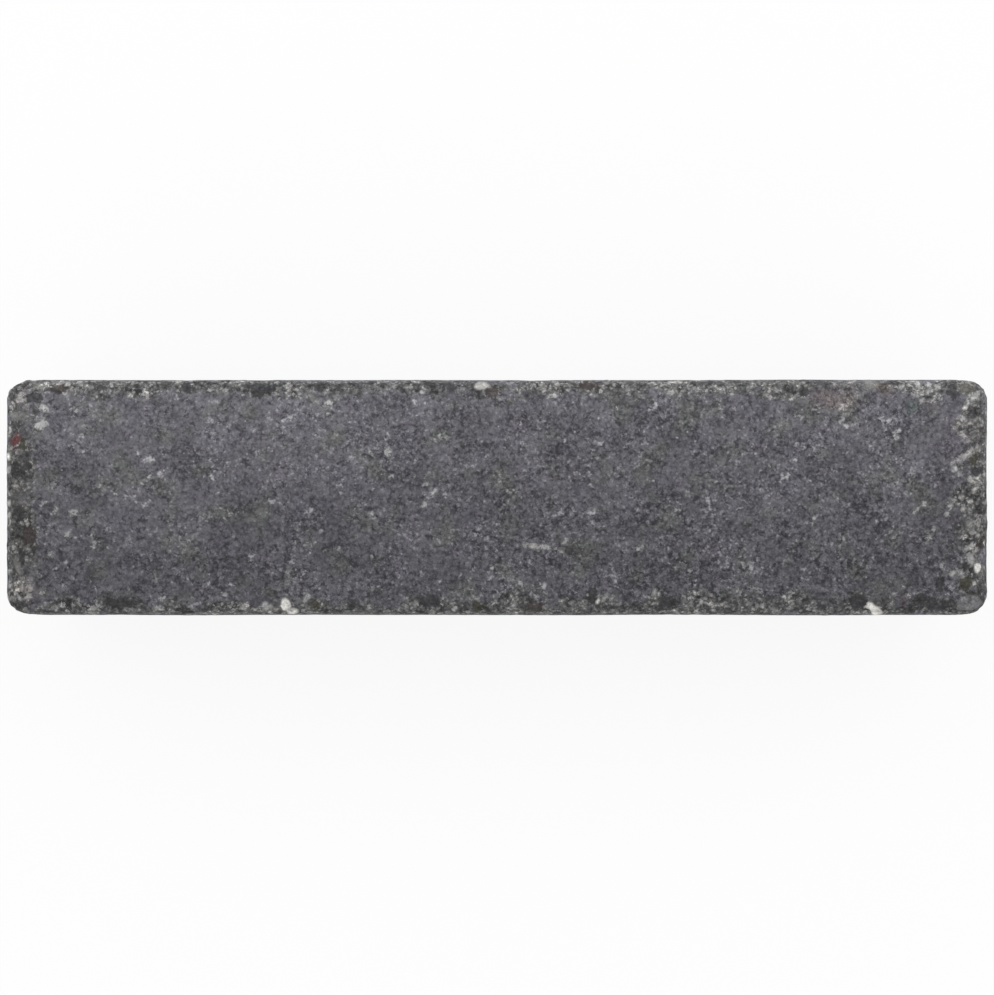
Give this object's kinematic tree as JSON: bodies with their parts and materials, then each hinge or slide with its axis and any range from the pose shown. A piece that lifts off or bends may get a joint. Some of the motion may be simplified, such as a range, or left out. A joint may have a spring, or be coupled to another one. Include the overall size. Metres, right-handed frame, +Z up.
{
  "type": "concrete paving brick",
  "caption": "Slim oblong paving brick of tumbled dark grey concrete with rounded corners and worn, chipped edges, laid flat on its bed with the wear face up.",
  "frame": {"origin": "middle of the bed face, on the surface the brick lies on", "axes": "+X along the brick's length, +Y across its width, +Z up through the wear face"},
  "size_m": [0.2, 0.048, 0.06],
  "materials": {
    "concrete": "tumbled dark grey pressed concrete, matt, sandy face with pale and dark stone showing at the worn edges"
  },
  "bodies": {
    "root": {"paving_brick": "concrete"}
  },
  "joints": []
}
